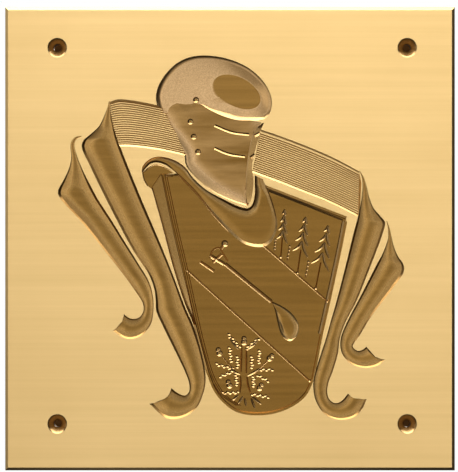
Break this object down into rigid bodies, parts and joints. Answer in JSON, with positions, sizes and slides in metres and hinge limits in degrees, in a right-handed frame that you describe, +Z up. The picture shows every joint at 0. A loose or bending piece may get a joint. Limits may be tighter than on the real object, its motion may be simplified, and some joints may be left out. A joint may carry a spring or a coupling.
{
  "type": "relief plaque",
  "caption": "Thick square brass wall plate with a sunk relief of a shield, helm, ribbed band and folded ribbons, chamfered edges and countersunk corner holes for screws.",
  "frame": {"origin": "middle of the flat back, which lies against the wall", "axes": "+Z up the plate, +X to the right seen from the front, +Y into the wall, so the face looks along -Y"},
  "size_m": [0.18, 0.008, 0.1854],
  "materials": {
    "brass": "brushed face, satin milled relief"
  },
  "bodies": {
    "root": {"relief_plate": "brass"}
  },
  "joints": []
}
